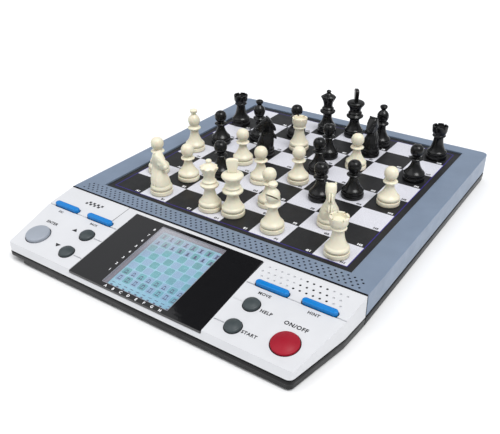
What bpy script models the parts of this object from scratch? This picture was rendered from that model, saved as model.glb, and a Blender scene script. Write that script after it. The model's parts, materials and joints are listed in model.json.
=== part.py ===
"""Electronic chess computer with its 32 pieces, in metres.

+X is the player's right, +Y the far side of the board and +Z up. The origin is on the table, under the
middle of the body. The covers, board, control keys and inner parts form the machine; each chess piece
stands loose on its square.
"""

import math

import bmesh
import bpy
from mathutils import Matrix, Vector

# Driving dimensions
SQUARE = 0.025
GAP = 0.0003
WALL = 0.002
BODY_WIDTH = 0.2493
BODY_DEPTH = 0.3102
FOOT_HEIGHT = 0.0015
BOARD_Z = 0.0235
BOARD_CENTRE_Y = 0.0376
FRAME_TOP_Z = 0.0249

# Base tray
FLOOR_TOP_Z = FOOT_HEIGHT + WALL
LIP_BOTTOM_Z = 0.0047
LIP_TOP_Z = 0.0076
SPLIT_Z = 0.0085  # lower edge of both top covers
PLINTH_INSET = 0.0003
RIM_INSET = 0.0008
BACK_CORNER = 0.005
FRONT_CORNER = 0.004
CORNER_CUT = 0.0135  # how far the plinth's left front corner is cut back along each side
POST_RADIUS = 0.0026
FOOT_RADIUS = 0.0050
FOOT_SEAT_DEPTH = 0.001
SEAM_WIDTH = 0.0008
SEAM_DEPTH = 0.0006

# Control panel: a shallow rear strip, a crease and a steeper front plane
FRONT_Y = -BODY_DEPTH / 2
BACK_Y = BODY_DEPTH / 2
SEAM_Y = -0.0838
SEAM_HALF_GAP = 0.0006  # half the visible gap between the two top covers
CREASE_Y = -0.1086
CREASE_Z = 0.0214
PANEL_REAR_Z = 0.0242
FRONT_SLOPE = math.radians(9.3)
REAR_SLOPE = math.atan2(PANEL_REAR_Z - CREASE_Z, SEAM_Y - CREASE_Y)
FRONT_DRAFT = 0.0015
CREASE_HALF_WIDTH = 0.1235
FRONT_HALF_WIDTH = 0.1150

# Display
DISPLAY_HALF_WIDTH = 2.165 * SQUARE
DISPLAY_BACK = 0.0206  # distances along the front plane, behind (+) or before (-) the crease
DISPLAY_FRONT = -0.0466
DISPLAY_THICKNESS = 0.002
WINDOW_HALF_WIDTH = 1.085 * SQUARE
WINDOW_BACK = 0.0178
WINDOW_FRONT = -0.0432
LENS_THICKNESS = 0.001
LIGHT_BOX_WALL = 0.001
LCD_DEPTH = 0.0030
LCD_THICKNESS = 0.0025
LCD_EDGE = LIGHT_BOX_WALL + 0.0002  # how far the LCD module reaches past the window

# Playing field
FIELD_HALF = 4 * SQUARE
OVERLAY_HALF = FIELD_HALF + 0.0055
OVERLAY_GAP = 0.0005
OVERLAY_THICKNESS = 0.0006
SENSOR_THICKNESS = 0.0008
DECK_TOP_Z = BOARD_Z - OVERLAY_THICKNESS - SENSOR_THICKNESS - 2 * GAP

# Control keys
FLANGE_HEIGHT = 0.001
FLANGE_REACH = 0.0012
KEY_TRAVEL = 0.0012
ROUND_KEYS = {
    # name: (x, distance before the crease, radius, height, dome, material)
    "enter_button": (-0.1018, 0.0307, 0.0086, 0.0028, 0.0004, "grey_key"),
    "up_button": (-0.0690, 0.0150, 0.0052, 0.0030, 0.0010, "dark_key"),
    "down_button": (-0.0690, 0.0343, 0.0052, 0.0030, 0.0010, "dark_key"),
    "help_button": (0.0688, 0.0150, 0.0052, 0.0030, 0.0010, "dark_key"),
    "start_button": (0.0688, 0.0343, 0.0052, 0.0030, 0.0010, "dark_key"),
    "power_button": (0.1015, 0.0307, 0.0085, 0.0034, 0.0020, "red_key"),
}
BAR_KEYS = {
    # name: x
    "outer_left_bar": -0.1062,
    "inner_left_bar": -0.0730,
    "inner_right_bar": 0.0726,
    "outer_right_bar": 0.1052,
}
BAR_LENGTH = 0.0234
BAR_WIDTH = 0.0044
BAR_HEIGHT = 0.0025
BAR_BACK = 0.0021  # middle of a bar, behind the crease

# Inside
BOARD_BOTTOM_Z = 0.0044
CIRCUIT_THICKNESS = 0.0016
KEYPAD_Z = BOARD_BOTTOM_Z + CIRCUIT_THICKNESS + GAP
CIRCUIT_OUTLINE = (
    (-0.1035, -0.1472, 0), (0.109, -0.1472, 0.002), (0.112, -0.110, 0), (0.112, -0.0885, 0.002),
    (-0.112, -0.0885, 0.002), (-0.112, -0.110, 0), (-0.1095, -0.1412, 0),
)
KEYPAD_THICKNESS = 0.001
KEYPAD_HALF_WIDTH = 0.1075
KEYPAD_FRONT_Y = -0.1430
KEYPAD_BACK_Y = -0.1015
DOME_RADIUS = 0.002
DOME_SLACK = 0.0008  # room left between a dome and its fully pressed key
SPEAKER_X = 0.0945
SPEAKER_Y = -0.098
SPEAKER_RADIUS = 0.0100
SPEAKER_PROFILE = (
    (0, 0.0130), (0.0040, 0.0138), (0.0085, 0.0125), (0.0088, 0.0140), (SPEAKER_RADIUS, 0.0140),
    (SPEAKER_RADIUS, 0.0122), (0.0060, 0.0105), (0.0060, 0.0082), (0, 0.0082),
)
REAR_POST_X = 0.118
REAR_POST_YS = (-0.074, 0.035, 0.146)
FRONT_POST_X = 0.055
FRONT_POST_Y = -0.1510
FOOT_X = 0.095
FOOT_Y = 0.138
CELL_RADIUS = 0.0070
CELL_LENGTH = 0.0500
CELL_PITCH = 0.0146
CELL_AXIS_Z = 0.0112
CELL_STUD_RADIUS = 0.0026
CELL_STUD_HEIGHT = 0.001
CELL_SHOULDER = 0.0005
BAY_HALF_WIDTH = 0.0225
BAY_FRONT_Y = 0.0965
BAY_BACK_Y = 0.1510
BAY_WALL = 0.0014
BAY_TOP_Z = 0.0165
BAY_LEDGE_Z = 0.0065  # top of the part that reaches the back wall
COVER_THICKNESS = 0.0018
RIB_HALF_LENGTH = 0.008
RIB_WIDTH = 0.0012
RIB_DEPTH = 0.0006
RIB_PITCH = 0.003
RIB_INSET = 0.010

# Chess pieces
TURNED_STEPS = 10
BASE_RADIUS = 0.0086
FINIAL_DEPTH = 0.0034
FINIAL_OUTLINE = (
    (-0.0034, 0.0310), (0.0034, 0.0310), (0.0034, 0.0370), (0.0042, 0.0418), (0.0040, 0.0430),
    (0.0028, 0.0437), (0, 0.0440), (-0.0028, 0.0437), (-0.0040, 0.0430), (-0.0042, 0.0418), (-0.0034, 0.0370),
)

MATERIALS = {
    # name: (colour, roughness, metallic)
    "black_plastic": ((0.012, 0.013, 0.015), 0.5, 0.0),
    "blue_grey_plastic": ((0.17, 0.24, 0.34), 0.42, 0.2),
    "silver_plastic": ((0.80, 0.81, 0.84), 0.4, 0.1),
    "gloss_black": ((0.010, 0.010, 0.012), 0.06, 0.0),
    "display_glass": ((0.36, 0.63, 0.72), 0.2, 0.0),
    "overlay_sheet": ((0.05, 0.05, 0.055), 0.45, 0.0),
    "sensor_film": ((0.55, 0.50, 0.30), 0.5, 0.0),
    "circuit_green": ((0.02, 0.16, 0.06), 0.5, 0.0),
    "speaker_black": ((0.03, 0.03, 0.03), 0.6, 0.0),
    "keypad_rubber": ((0.25, 0.25, 0.26), 0.8, 0.0),
    "foot_rubber": ((0.02, 0.02, 0.02), 0.9, 0.0),
    "battery_jacket": ((0.10, 0.30, 0.14), 0.35, 0.3),
    "grey_key": ((0.30, 0.33, 0.37), 0.35, 0.0),
    "dark_key": ((0.035, 0.045, 0.050), 0.4, 0.0),
    "red_key": ((0.42, 0.005, 0.03), 0.35, 0.0),
    "blue_key": ((0.010, 0.22, 0.62), 0.3, 0.0),
    "ivory_piece": ((0.82, 0.78, 0.62), 0.35, 0.0),
    "black_piece": ((0.010, 0.010, 0.010), 0.25, 0.0),
}

# Outer profiles of the turned pieces above their shared base, as (radius, height), from the top down
PROFILES = {
    "pawn": (
        (0, 0.0295), (0.0036, 0.0281), (0.0052, 0.0245), (0.0040, 0.0208), (0.0032, 0.0196),
        (0.0053, 0.0184), (0.0053, 0.0174), (0.0028, 0.0150), (0.0046, 0.0098),
    ),
    "rook": (
        (0, 0.0262), (0.0044, 0.0262), (0.0044, 0.0285), (0.0061, 0.0285), (0.0060, 0.0236),
        (0.0050, 0.0222), (0.0035, 0.0185), (0.0046, 0.0115),
    ),
    "bishop": (
        (0, 0.0369), (0.0028, 0.0360), (0.0033, 0.0338), (0.0019, 0.0318), (0.0044, 0.0290),
        (0.0050, 0.0262), (0.0037, 0.0215), (0.0055, 0.0204), (0.0055, 0.0193), (0.0034, 0.0165),
        (0.0044, 0.0105),
    ),
    "queen": (
        (0, 0.0393), (0.0018, 0.0384), (0.0016, 0.0366), (0.0050, 0.0348), (0.0066, 0.0334),
        (0.0041, 0.0268), (0.0042, 0.0236), (0.0067, 0.0217), (0.0067, 0.0203), (0.0039, 0.0165),
        (0.0048, 0.0105),
    ),
    "king": (
        (0, 0.0333), (0.0046, 0.0327), (0.0072, 0.0313), (0.0078, 0.0302), (0.0051, 0.0256), (0.0049, 0.0228),
        (0.0071, 0.0209), (0.0071, 0.0196), (0.0041, 0.0155), (0.0050, 0.0105),
    ),
    "knight": ((0, 0.0074), (0.0078, 0.0074)),
}
BASE_PROFILE = ((0.0081, 0.0062), (0.0082, 0.0046), (BASE_RADIUS, 0.0034), (BASE_RADIUS, 0), (0, 0))

# Side view of a knight's head that looks along +X, as (x, z)
KNIGHT_OUTLINE = (
    (-0.0074, 0.0072), (-0.0076, 0.0150), (-0.0076, 0.0225), (-0.0068, 0.0280), (-0.0048, 0.0320),
    (-0.0024, 0.0336), (0.0004, 0.0320), (0.0040, 0.0288), (0.0076, 0.0246), (0.0082, 0.0218),
    (0.0064, 0.0200), (0.0036, 0.0206), (0.0026, 0.0186), (0.0048, 0.0135), (0.0066, 0.0072),
)
KNIGHT_THICKNESS = 0.0070

# Where the pieces stand, as (kind, file, rank, turn in degrees). The board's near left corner is (0, 0) and
# squares are one unit apart; a turn of 0 looks along +X
WHITE_PIECES = (
    ("rook", 7.53, 0.35, 0), ("king", 4.09, 0.56, 36), ("queen", 3.35, 0.45, 0),
    ("bishop", 5.49, 0.45, 200), ("bishop", 0.38, 3.50, 150), ("knight", 1.51, 0.43, 355),
    ("knight", 6.65, 1.57, 118), ("rook", 3.35, 5.55, 0), ("pawn", 0.49, 1.48, 0), ("pawn", 1.62, 1.61, 0),
    ("pawn", 4.65, 1.60, 0), ("pawn", 3.62, 2.72, 0), ("pawn", 2.36, 3.56, 0), ("pawn", 4.60, 3.37, 0),
    ("pawn", 7.53, 3.62, 0), ("pawn", 5.66, 5.28, 0),
)
BLACK_PIECES = (
    ("rook", 0.37, 6.31, 0), ("king", 4.42, 7.64, 124), ("queen", 3.42, 7.46, 0),
    ("bishop", 1.75, 5.48, 200), ("bishop", 5.57, 7.42, 260), ("knight", 2.61, 4.50, 215),
    ("knight", 5.60, 6.45, 262), ("rook", 7.58, 7.48, 0), ("pawn", 0.79, 4.47, 0), ("pawn", 2.33, 2.38, 0),
    ("pawn", 2.71, 6.45, 0), ("pawn", 4.50, 5.53, 0), ("pawn", 4.80, 4.31, 0), ("pawn", 5.71, 2.75, 0),
    ("pawn", 6.45, 3.44, 0), ("pawn", 7.56, 5.53, 0),
)

FRONT_PLANE = Matrix.Translation((0, CREASE_Y, CREASE_Z)) @ Matrix.Rotation(FRONT_SLOPE, 4, "X")
REAR_PLANE = Matrix.Translation((0, CREASE_Y, CREASE_Z)) @ Matrix.Rotation(REAR_SLOPE, 4, "X")
# Frames for drawing an outline in the (y, z) plane or the (x, z) plane
SIDE_VIEW = Matrix(((0, 0, 1, 0), (1, 0, 0, 0), (0, 1, 0, 0), (0, 0, 0, 1)))
FRONT_VIEW = Matrix(((1, 0, 0, 0), (0, 0, -1, 0), (0, 1, 0, 0), (0, 0, 0, 1)))


def clear_scene():
    for old in list(bpy.data.objects):
        bpy.data.objects.remove(old, do_unlink=True)


def new_collection(name):
    collection = bpy.data.collections.new(name)
    bpy.context.scene.collection.children.link(collection)
    return collection


def make_material(name):
    colour, roughness, metallic = MATERIALS[name]
    material = bpy.data.materials.new(name)
    material.use_nodes = True
    shader = material.node_tree.nodes["Principled BSDF"]
    shader.inputs["Base Color"].default_value = (*colour, 1)
    shader.inputs["Roughness"].default_value = roughness
    shader.inputs["Metallic"].default_value = metallic
    return material


clear_scene()
PARTS = new_collection("chess_computer")
CUTTERS = new_collection("cutters")
PAINTS = {name: make_material(name) for name in MATERIALS}


def add_object(name, mesh, matrix, collection):
    made = bpy.data.objects.new(name, mesh)
    made.matrix_world = matrix
    collection.objects.link(made)
    return made


def as_part(made, material):
    """Gives a finished piece its material."""
    made.data.materials.clear()
    made.data.materials.append(PAINTS[material])
    return made


def as_cutter(made):
    """Turns a piece into a helper that is neither rendered nor exported."""
    for collection in list(made.users_collection):
        collection.objects.unlink(made)
    CUTTERS.objects.link(made)
    made.hide_render = True
    made.display_type = "WIRE"
    return made


def combine(made, other, operation):
    modifier = made.modifiers.new(operation.lower(), "BOOLEAN")
    modifier.operation = operation
    modifier.object = as_cutter(other)
    return made


def cut(made, other):
    return combine(made, other, "DIFFERENCE")


def join(made, other):
    return combine(made, other, "UNION")


def flat_solid(name, outline, low, high, matrix=Matrix.Identity(4)):
    """An outline in the XY plane of the matrix, extruded from low to high along its Z."""
    curve = bpy.data.curves.new(name, "CURVE")
    curve.dimensions = "2D"
    curve.fill_mode = "BOTH"
    curve.extrude = (high - low) / 2
    spline = curve.splines.new("POLY")
    spline.points.add(len(outline) - 1)
    for point, (x, y) in zip(spline.points, outline):
        point.co = (x, y, 0, 1)
    spline.use_cyclic_u = True
    drawn = add_object(name + "_outline", curve, matrix @ Matrix.Translation((0, 0, (low + high) / 2)), PARTS)
    bpy.context.view_layer.update()
    mesh = bpy.data.meshes.new_from_object(drawn.evaluated_get(bpy.context.evaluated_depsgraph_get()))
    work = bmesh.new()
    work.from_mesh(mesh)
    bmesh.ops.remove_doubles(work, verts=work.verts, dist=1e-6)
    bmesh.ops.recalc_face_normals(work, faces=work.faces)
    work.to_mesh(mesh)
    work.free()
    made = add_object(name, mesh, drawn.matrix_world.copy(), PARTS)
    bpy.data.objects.remove(drawn)
    return made


def box(name, low, high, matrix=Matrix.Identity(4)):
    """A box between two corners, given in the frame of the matrix."""
    size = Vector(high) - Vector(low)
    middle = (Vector(high) + Vector(low)) / 2
    mesh = bpy.data.meshes.new(name)
    work = bmesh.new()
    bmesh.ops.create_cube(work, size=1, matrix=Matrix.Translation(middle) @ Matrix.Diagonal((*size, 1)))
    work.to_mesh(mesh)
    work.free()
    return add_object(name, mesh, matrix, PARTS)


def cylinder(name, radius, low, high, matrix, segments=16):
    """A cylinder on the Z axis of the matrix."""
    mesh = bpy.data.meshes.new(name)
    work = bmesh.new()
    bmesh.ops.create_cone(
        work,
        segments=segments,
        radius1=radius,
        radius2=radius,
        depth=high - low,
        cap_ends=True,
        matrix=Matrix.Translation((0, 0, (low + high) / 2)),
    )
    work.to_mesh(mesh)
    work.free()
    return add_object(name, mesh, matrix, PARTS)


def turned(name, profile, steps, matrix):
    """A closed profile of (radius, height), from the top of the axis down its outer side, turned about Z."""
    mesh = bpy.data.meshes.new(name)
    points = [(radius, 0, height) for radius, height in profile]
    edges = [(index, index + 1) for index in range(len(points) - 1)]
    mesh.from_pydata(points, edges, [])
    made = add_object(name, mesh, matrix, PARTS)
    screw = made.modifiers.new("turn", "SCREW")
    screw.steps = steps
    screw.render_steps = steps
    screw.use_merge_vertices = True
    screw.merge_threshold = 0.00001
    screw.use_smooth_shade = True
    return made


def rounded_outline(corners, steps=4):
    """Corners given as (x, y, radius), anticlockwise, with an arc of so many steps on each radius above 0."""
    points = []
    for index, (x, y, radius) in enumerate(corners):
        corner = Vector((x, y))
        before = (Vector(corners[index - 1][:2]) - corner).normalized()
        after = (Vector(corners[(index + 1) % len(corners)][:2]) - corner).normalized()
        if radius <= 0:
            points.append((x, y))
            continue
        half_angle = before.angle(after) / 2
        centre = corner + (before + after).normalized() * radius / math.sin(half_angle)
        start = corner + before * radius / math.tan(half_angle) - centre
        end = corner + after * radius / math.tan(half_angle) - centre
        first = math.atan2(start.y, start.x)
        swing = (math.atan2(end.y, end.x) - first) % (2 * math.pi)
        for step in range(steps + 1):
            angle = first + swing * step / steps
            points.append((centre.x + radius * math.cos(angle), centre.y + radius * math.sin(angle)))
    return points


def body_outline(inset=0.0, corner_cut=0.0):
    """The whole body in plan: straight sides round the board, then a taper from the crease to the front."""
    half, crease, front = BODY_WIDTH / 2 - inset, CREASE_HALF_WIDTH - inset, FRONT_HALF_WIDTH - inset
    front_corner, back_corner = FRONT_CORNER - inset, BACK_CORNER - inset
    left_front = [(-front, FRONT_Y + inset, front_corner)]
    if corner_cut:
        left_front = [(-front, FRONT_Y + inset + corner_cut, 0), (-front + corner_cut, FRONT_Y + inset, 0)]
    return rounded_outline([
        *left_front,
        (front, FRONT_Y + inset, front_corner),
        (crease, CREASE_Y, 0),
        (half, SEAM_Y, 0),
        (half, BACK_Y - inset, back_corner),
        (-half, BACK_Y - inset, back_corner),
        (-half, SEAM_Y, 0),
        (-crease, CREASE_Y, 0),
    ])


def stadium(length, width, steps=4):
    """A bar's outline with round ends, along X and about the origin."""
    half = length / 2
    radius = width / 2
    return rounded_outline([
        (-half, -radius, radius * 0.98), (half, -radius, radius * 0.98),
        (half, radius, radius * 0.98), (-half, radius, radius * 0.98),
    ], steps)


def panel_height(y):
    """Height of the control panel's top at a place on its front plane or rear strip."""
    slope = FRONT_SLOPE if y < CREASE_Y else REAR_SLOPE
    return CREASE_Z + (y - CREASE_Y) * math.tan(slope)


def key_matrix(name):
    """A key's own frame: its origin on the panel's surface, and Z along its travel."""
    if name in ROUND_KEYS:
        x, forward = ROUND_KEYS[name][:2]
        return FRONT_PLANE @ Matrix.Translation((x, -forward, 0))
    return REAR_PLANE @ Matrix.Translation((BAR_KEYS[name], BAR_BACK, 0))


def make_base_shell():
    """The black tray: plinth, upright lip, narrower rim, battery bay, screw posts and foot seats."""
    base = flat_solid("base_shell", body_outline(), LIP_BOTTOM_Z, LIP_TOP_Z)
    plinth = body_outline(PLINTH_INSET, CORNER_CUT)
    join(base, flat_solid("plinth", plinth, FOOT_HEIGHT, LIP_BOTTOM_Z + GAP))
    join(base, flat_solid("rim", body_outline(RIM_INSET), LIP_TOP_Z - GAP, SPLIT_Z - GAP))
    cut(base, flat_solid("tray_inside", body_outline(WALL, CORNER_CUT), FLOOR_TOP_Z, SPLIT_Z + WALL))
    join(base, make_bay_block())
    cut(base, make_bay_cutter())
    for x, y, top in screw_posts():
        join(base, cylinder("post", POST_RADIUS, FLOOR_TOP_Z - GAP, top, Matrix.Translation((x, y, 0)), 8))
    seat_top = FOOT_HEIGHT + FOOT_SEAT_DEPTH
    for x, y in foot_places():
        cut(base, cylinder("foot_seat", FOOT_RADIUS + GAP, -1, seat_top, Matrix.Translation((x, y, 0))))
    for side in (-1, 1):
        near, far = sorted((side * (BODY_WIDTH / 2 - SEAM_DEPTH), side * BODY_WIDTH))
        low = (near, SEAM_Y - SEAM_WIDTH / 2, -1)
        cut(base, box("seam_groove", low, (far, SEAM_Y + SEAM_WIDTH / 2, 1)))
    return as_part(base, "black_plastic")


def make_bay_block():
    """The walls of the battery bay before its inside is cut out, with a low ledge to the back wall."""
    bottom = FOOT_HEIGHT + GAP
    bay_front, bay_back = BAY_FRONT_Y - BAY_WALL, BAY_BACK_Y + BAY_WALL
    inside_wall = BACK_Y - WALL / 2
    side = [
        (bay_front, bottom), (inside_wall, bottom), (inside_wall, BAY_LEDGE_Z),
        (bay_back, BAY_LEDGE_Z), (bay_back, BAY_TOP_Z), (bay_front, BAY_TOP_Z),
    ]
    half = BAY_HALF_WIDTH + BAY_WALL
    return flat_solid("bay_block", side, -half, half, SIDE_VIEW)


def make_bay_cutter():
    """The room for the cells, open at the top, with the way for the cover running out at the back."""
    way_top = FOOT_HEIGHT + COVER_THICKNESS + GAP
    side = [
        (BAY_FRONT_Y, -1), (1, -1), (1, way_top), (BAY_BACK_Y, way_top), (BAY_BACK_Y, 1), (BAY_FRONT_Y, 1),
    ]
    return flat_solid("bay_inside", side, -BAY_HALF_WIDTH, BAY_HALF_WIDTH, SIDE_VIEW)


def screw_posts():
    """Places and tops of the posts that carry the cover screws."""
    rear_top = DECK_TOP_Z - WALL - 2 * GAP
    posts = [(side * REAR_POST_X, y, rear_top) for side in (-1, 1) for y in REAR_POST_YS]
    return posts + [(side * FRONT_POST_X, FRONT_POST_Y, LIP_TOP_Z - 2 * GAP) for side in (-1, 1)]


def foot_places():
    return [(side * FOOT_X, y) for side in (-1, 1) for y in (-FOOT_Y, FOOT_Y)]


def make_board_frame():
    """The blue-grey cover: a border round the board, with a sunk deck under the playing field."""
    half = BODY_WIDTH / 2
    border = rounded_outline([
        (-half, SEAM_Y + SEAM_HALF_GAP, 0), (half, SEAM_Y + SEAM_HALF_GAP, 0),
        (half, BACK_Y, BACK_CORNER), (-half, BACK_Y, BACK_CORNER),
    ])
    frame = flat_solid("board_frame", border, SPLIT_Z, FRAME_TOP_Z)
    inside = half - WALL
    cut(frame, box("frame_inside", (-inside, SEAM_Y + WALL, 0), (inside, BACK_Y - WALL, DECK_TOP_Z - WALL)))
    reach = OVERLAY_HALF + OVERLAY_GAP
    low = (-reach, BOARD_CENTRE_Y - reach, DECK_TOP_Z)
    cut(frame, box("board_recess", low, (reach, BOARD_CENTRE_Y + reach, 1)))
    return as_part(frame, "blue_grey_plastic")


def make_playing_field():
    """The pressure-sensing film and the printed sheet over it, both in the frame's recess."""
    sensor_top = DECK_TOP_Z + GAP + SENSOR_THICKNESS
    for name, low, high, material in (
        ("sensor_sheet", DECK_TOP_Z + GAP, sensor_top, "sensor_film"),
        ("board_overlay", sensor_top + GAP, BOARD_Z, "overlay_sheet"),
    ):
        corners = [
            (sx * OVERLAY_HALF, BOARD_CENTRE_Y + sy * OVERLAY_HALF, 0)
            for sx, sy in ((-1, -1), (1, -1), (1, 1), (-1, 1))
        ]
        as_part(flat_solid(name, rounded_outline(corners), low, high), material)


def panel_profile(inset):
    """The control panel seen from the side, as (y, z), running on down through its open underside."""
    bottom = -0.01
    front_top = FRONT_Y + FRONT_DRAFT
    return [
        (FRONT_Y + inset, SPLIT_Z),
        (FRONT_Y + inset, bottom),
        (SEAM_Y - SEAM_HALF_GAP - inset, bottom),
        (SEAM_Y - SEAM_HALF_GAP - inset, PANEL_REAR_Z - inset),
        (CREASE_Y, CREASE_Z - inset),
        (front_top + inset, panel_height(front_top) - inset),
    ]


def make_control_panel():
    """The silver cover over the keys: a tapered, sloping shell with openings for the display and keys."""
    panel = flat_solid("control_panel", body_outline(), SPLIT_Z, FRAME_TOP_Z)
    combine(panel, flat_solid("panel_side", panel_profile(0), -1, 1, SIDE_VIEW), "INTERSECT")
    inside = flat_solid("panel_inside", body_outline(WALL), 0, FRAME_TOP_Z)
    combine(inside, flat_solid("inside_side", panel_profile(WALL), -1, 1, SIDE_VIEW), "INTERSECT")
    cut(panel, inside)
    half = DISPLAY_HALF_WIDTH + GAP
    low = (-half, DISPLAY_FRONT - 0.01, -DISPLAY_THICKNESS - GAP)
    cut(panel, box("display_way", low, (half, DISPLAY_BACK + GAP, 0.02), FRONT_PLANE))
    wide = LIGHT_BOX_WALL + GAP
    low = (-WINDOW_HALF_WIDTH - wide, WINDOW_FRONT - wide, -0.006)
    cut(panel, box("light_box_way", low, (WINDOW_HALF_WIDTH + wide, WINDOW_BACK + wide, 0.02), FRONT_PLANE))
    for name in ROUND_KEYS:
        hole = ROUND_KEYS[name][2] + GAP
        cut(panel, cylinder(name + "_hole", hole, -0.006, 0.006, key_matrix(name), 24))
    for name in BAR_KEYS:
        slot = stadium(BAR_LENGTH + 2 * GAP, BAR_WIDTH + 2 * GAP)
        cut(panel, flat_solid(name + "_slot", slot, -0.006, 0.006, key_matrix(name)))
    return as_part(panel, "silver_plastic")


def make_display():
    """The gloss plate, thinner over the screen and with the light box under it, and the LCD module below."""
    window = box(
        "display_window",
        (-DISPLAY_HALF_WIDTH, DISPLAY_FRONT, -DISPLAY_THICKNESS),
        (DISPLAY_HALF_WIDTH, DISPLAY_BACK, 0),
        FRONT_PLANE,
    )
    wall = LIGHT_BOX_WALL
    box_low = (-WINDOW_HALF_WIDTH - wall, WINDOW_FRONT - wall, -LCD_DEPTH)
    box_high = (WINDOW_HALF_WIDTH + wall, WINDOW_BACK + wall, -GAP)
    join(window, box("light_box", box_low, box_high, FRONT_PLANE))
    room_low = (-WINDOW_HALF_WIDTH, WINDOW_FRONT, -1)
    room_high = (WINDOW_HALF_WIDTH, WINDOW_BACK, -LENS_THICKNESS)
    cut(window, box("light_box_room", room_low, room_high, FRONT_PLANE))
    as_part(window, "gloss_black")
    lcd = box(
        "lcd_module",
        (-WINDOW_HALF_WIDTH - LCD_EDGE, WINDOW_FRONT - LCD_EDGE, -LCD_DEPTH - GAP - LCD_THICKNESS),
        (WINDOW_HALF_WIDTH + LCD_EDGE, WINDOW_BACK + LCD_EDGE, -LCD_DEPTH - GAP),
        FRONT_PLANE,
    )
    as_part(lcd, "display_glass")


def make_round_key(name):
    radius, height, dome, material = ROUND_KEYS[name][2:]
    shoulder = height - dome
    under = -WALL - GAP
    profile = (
        (0, height),
        (radius * 0.55, height - dome * 0.25),
        (radius * 0.86, shoulder),
        (radius, shoulder * 0.55),
        (radius, under),
        (radius + FLANGE_REACH, under),
        (radius + FLANGE_REACH, under - FLANGE_HEIGHT),
        (0, under - FLANGE_HEIGHT),
    )
    as_part(turned(name, profile, 20, key_matrix(name)), material)


def make_bar_key(name):
    under = -WALL - GAP
    matrix = key_matrix(name)
    bar = flat_solid(name, stadium(BAR_LENGTH, BAR_WIDTH), under - FLANGE_HEIGHT / 2, BAR_HEIGHT, matrix)
    flange = stadium(BAR_LENGTH + 2 * FLANGE_REACH, BAR_WIDTH + 2 * FLANGE_REACH)
    join(bar, flat_solid(name + "_flange", flange, under - FLANGE_HEIGHT, under, matrix))
    as_part(bar, "blue_key")


def make_circuit_board():
    """The main circuit board, under the control panel."""
    outline = rounded_outline(CIRCUIT_OUTLINE, 2)
    board = flat_solid("main_circuit_board", outline, BOARD_BOTTOM_Z, BOARD_BOTTOM_Z + CIRCUIT_THICKNESS)
    as_part(board, "circuit_green")


def make_keypad():
    """One rubber sheet on the circuit board, with a hollow-dome tower under every key."""
    top = KEYPAD_Z + KEYPAD_THICKNESS
    low = (-KEYPAD_HALF_WIDTH, KEYPAD_FRONT_Y, KEYPAD_Z)
    keypad = box("keypad_membrane", low, (KEYPAD_HALF_WIDTH, KEYPAD_BACK_Y, top))
    for name in (*ROUND_KEYS, *BAR_KEYS):
        place = key_matrix(name).translation
        reach = panel_height(place.y) - WALL - GAP - FLANGE_HEIGHT - KEY_TRAVEL - DOME_SLACK
        upright = Matrix.Translation((place.x, place.y, 0))
        join(keypad, cylinder(name + "_dome", DOME_RADIUS, top - GAP, reach, upright, 8))
    as_part(keypad, "keypad_rubber")


def make_speaker():
    """A small loudspeaker that faces up to the pierced part of the control panel."""
    place = Matrix.Translation((SPEAKER_X, SPEAKER_Y, 0))
    as_part(turned("speaker", SPEAKER_PROFILE, 16, place), "speaker_black")


def make_batteries():
    """Three AA cells side by side in the bay."""
    profile = (
        (0, CELL_LENGTH), (CELL_STUD_RADIUS, CELL_LENGTH), (CELL_STUD_RADIUS, CELL_LENGTH - CELL_STUD_HEIGHT),
        (CELL_RADIUS, CELL_LENGTH - CELL_STUD_HEIGHT - CELL_SHOULDER), (CELL_RADIUS, 0), (0, 0),
    )
    start_y = (BAY_FRONT_Y + BAY_BACK_Y - CELL_LENGTH) / 2
    for index in range(3):
        place = Vector(((index - 1) * CELL_PITCH, start_y, CELL_AXIS_Z))
        turn = math.pi / 2
        if index % 2 == 0:
            place.y += CELL_LENGTH
        else:
            turn = -turn
        matrix = Matrix.Translation(place) @ Matrix.Rotation(turn, 4, "X")
        as_part(turned(f"battery_{index + 1}", profile, 16, matrix), "battery_jacket")


def make_battery_cover():
    """A flush cover in the underside, which slides out backwards."""
    half = BAY_HALF_WIDTH - GAP
    start_y = BAY_FRONT_Y + GAP
    length = BACK_Y - PLINTH_INSET - start_y
    matrix = Matrix.Translation((0, start_y, FOOT_HEIGHT))
    cover = box("battery_cover", (-half, 0, 0), (half, length, COVER_THICKNESS), matrix)
    for rib in range(3):
        y = length - RIB_INSET - rib * RIB_PITCH
        low = (-RIB_HALF_LENGTH, y, -1)
        cut(cover, box("grip_rib", low, (RIB_HALF_LENGTH, y + RIB_WIDTH, RIB_DEPTH), matrix))
    as_part(cover, "black_plastic")


def make_feet():
    """Rubber feet, each seated in a shallow round recess."""
    top = FOOT_HEIGHT + FOOT_SEAT_DEPTH - GAP
    profile = ((0, top), (FOOT_RADIUS, top), (FOOT_RADIUS, 0.0004), (FOOT_RADIUS - 0.0004, 0), (0, 0))
    for index, (x, y) in enumerate(foot_places()):
        foot = turned(f"rubber_foot_{index + 1}", profile, 16, Matrix.Translation((x, y, 0)))
        as_part(foot, "foot_rubber")


def piece_matrix(file, rank, turn):
    """Where a piece stands on the playing field."""
    x = (file - 4) * SQUARE
    y = BOARD_CENTRE_Y + (rank - 4) * SQUARE
    return Matrix.Translation((x, y, BOARD_Z + GAP)) @ Matrix.Rotation(math.radians(turn), 4, "Z")


def make_piece(name, kind, matrix, material):
    piece = turned(name, PROFILES[kind] + BASE_PROFILE, TURNED_STEPS, matrix)
    if kind == "king":
        half = FINIAL_DEPTH / 2
        join(piece, flat_solid("finial", FINIAL_OUTLINE, -half, half, matrix @ FRONT_VIEW))
    if kind == "knight":
        half = KNIGHT_THICKNESS / 2
        join(piece, flat_solid("head", KNIGHT_OUTLINE, -half, half, matrix @ FRONT_VIEW))
    as_part(piece, material)


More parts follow.
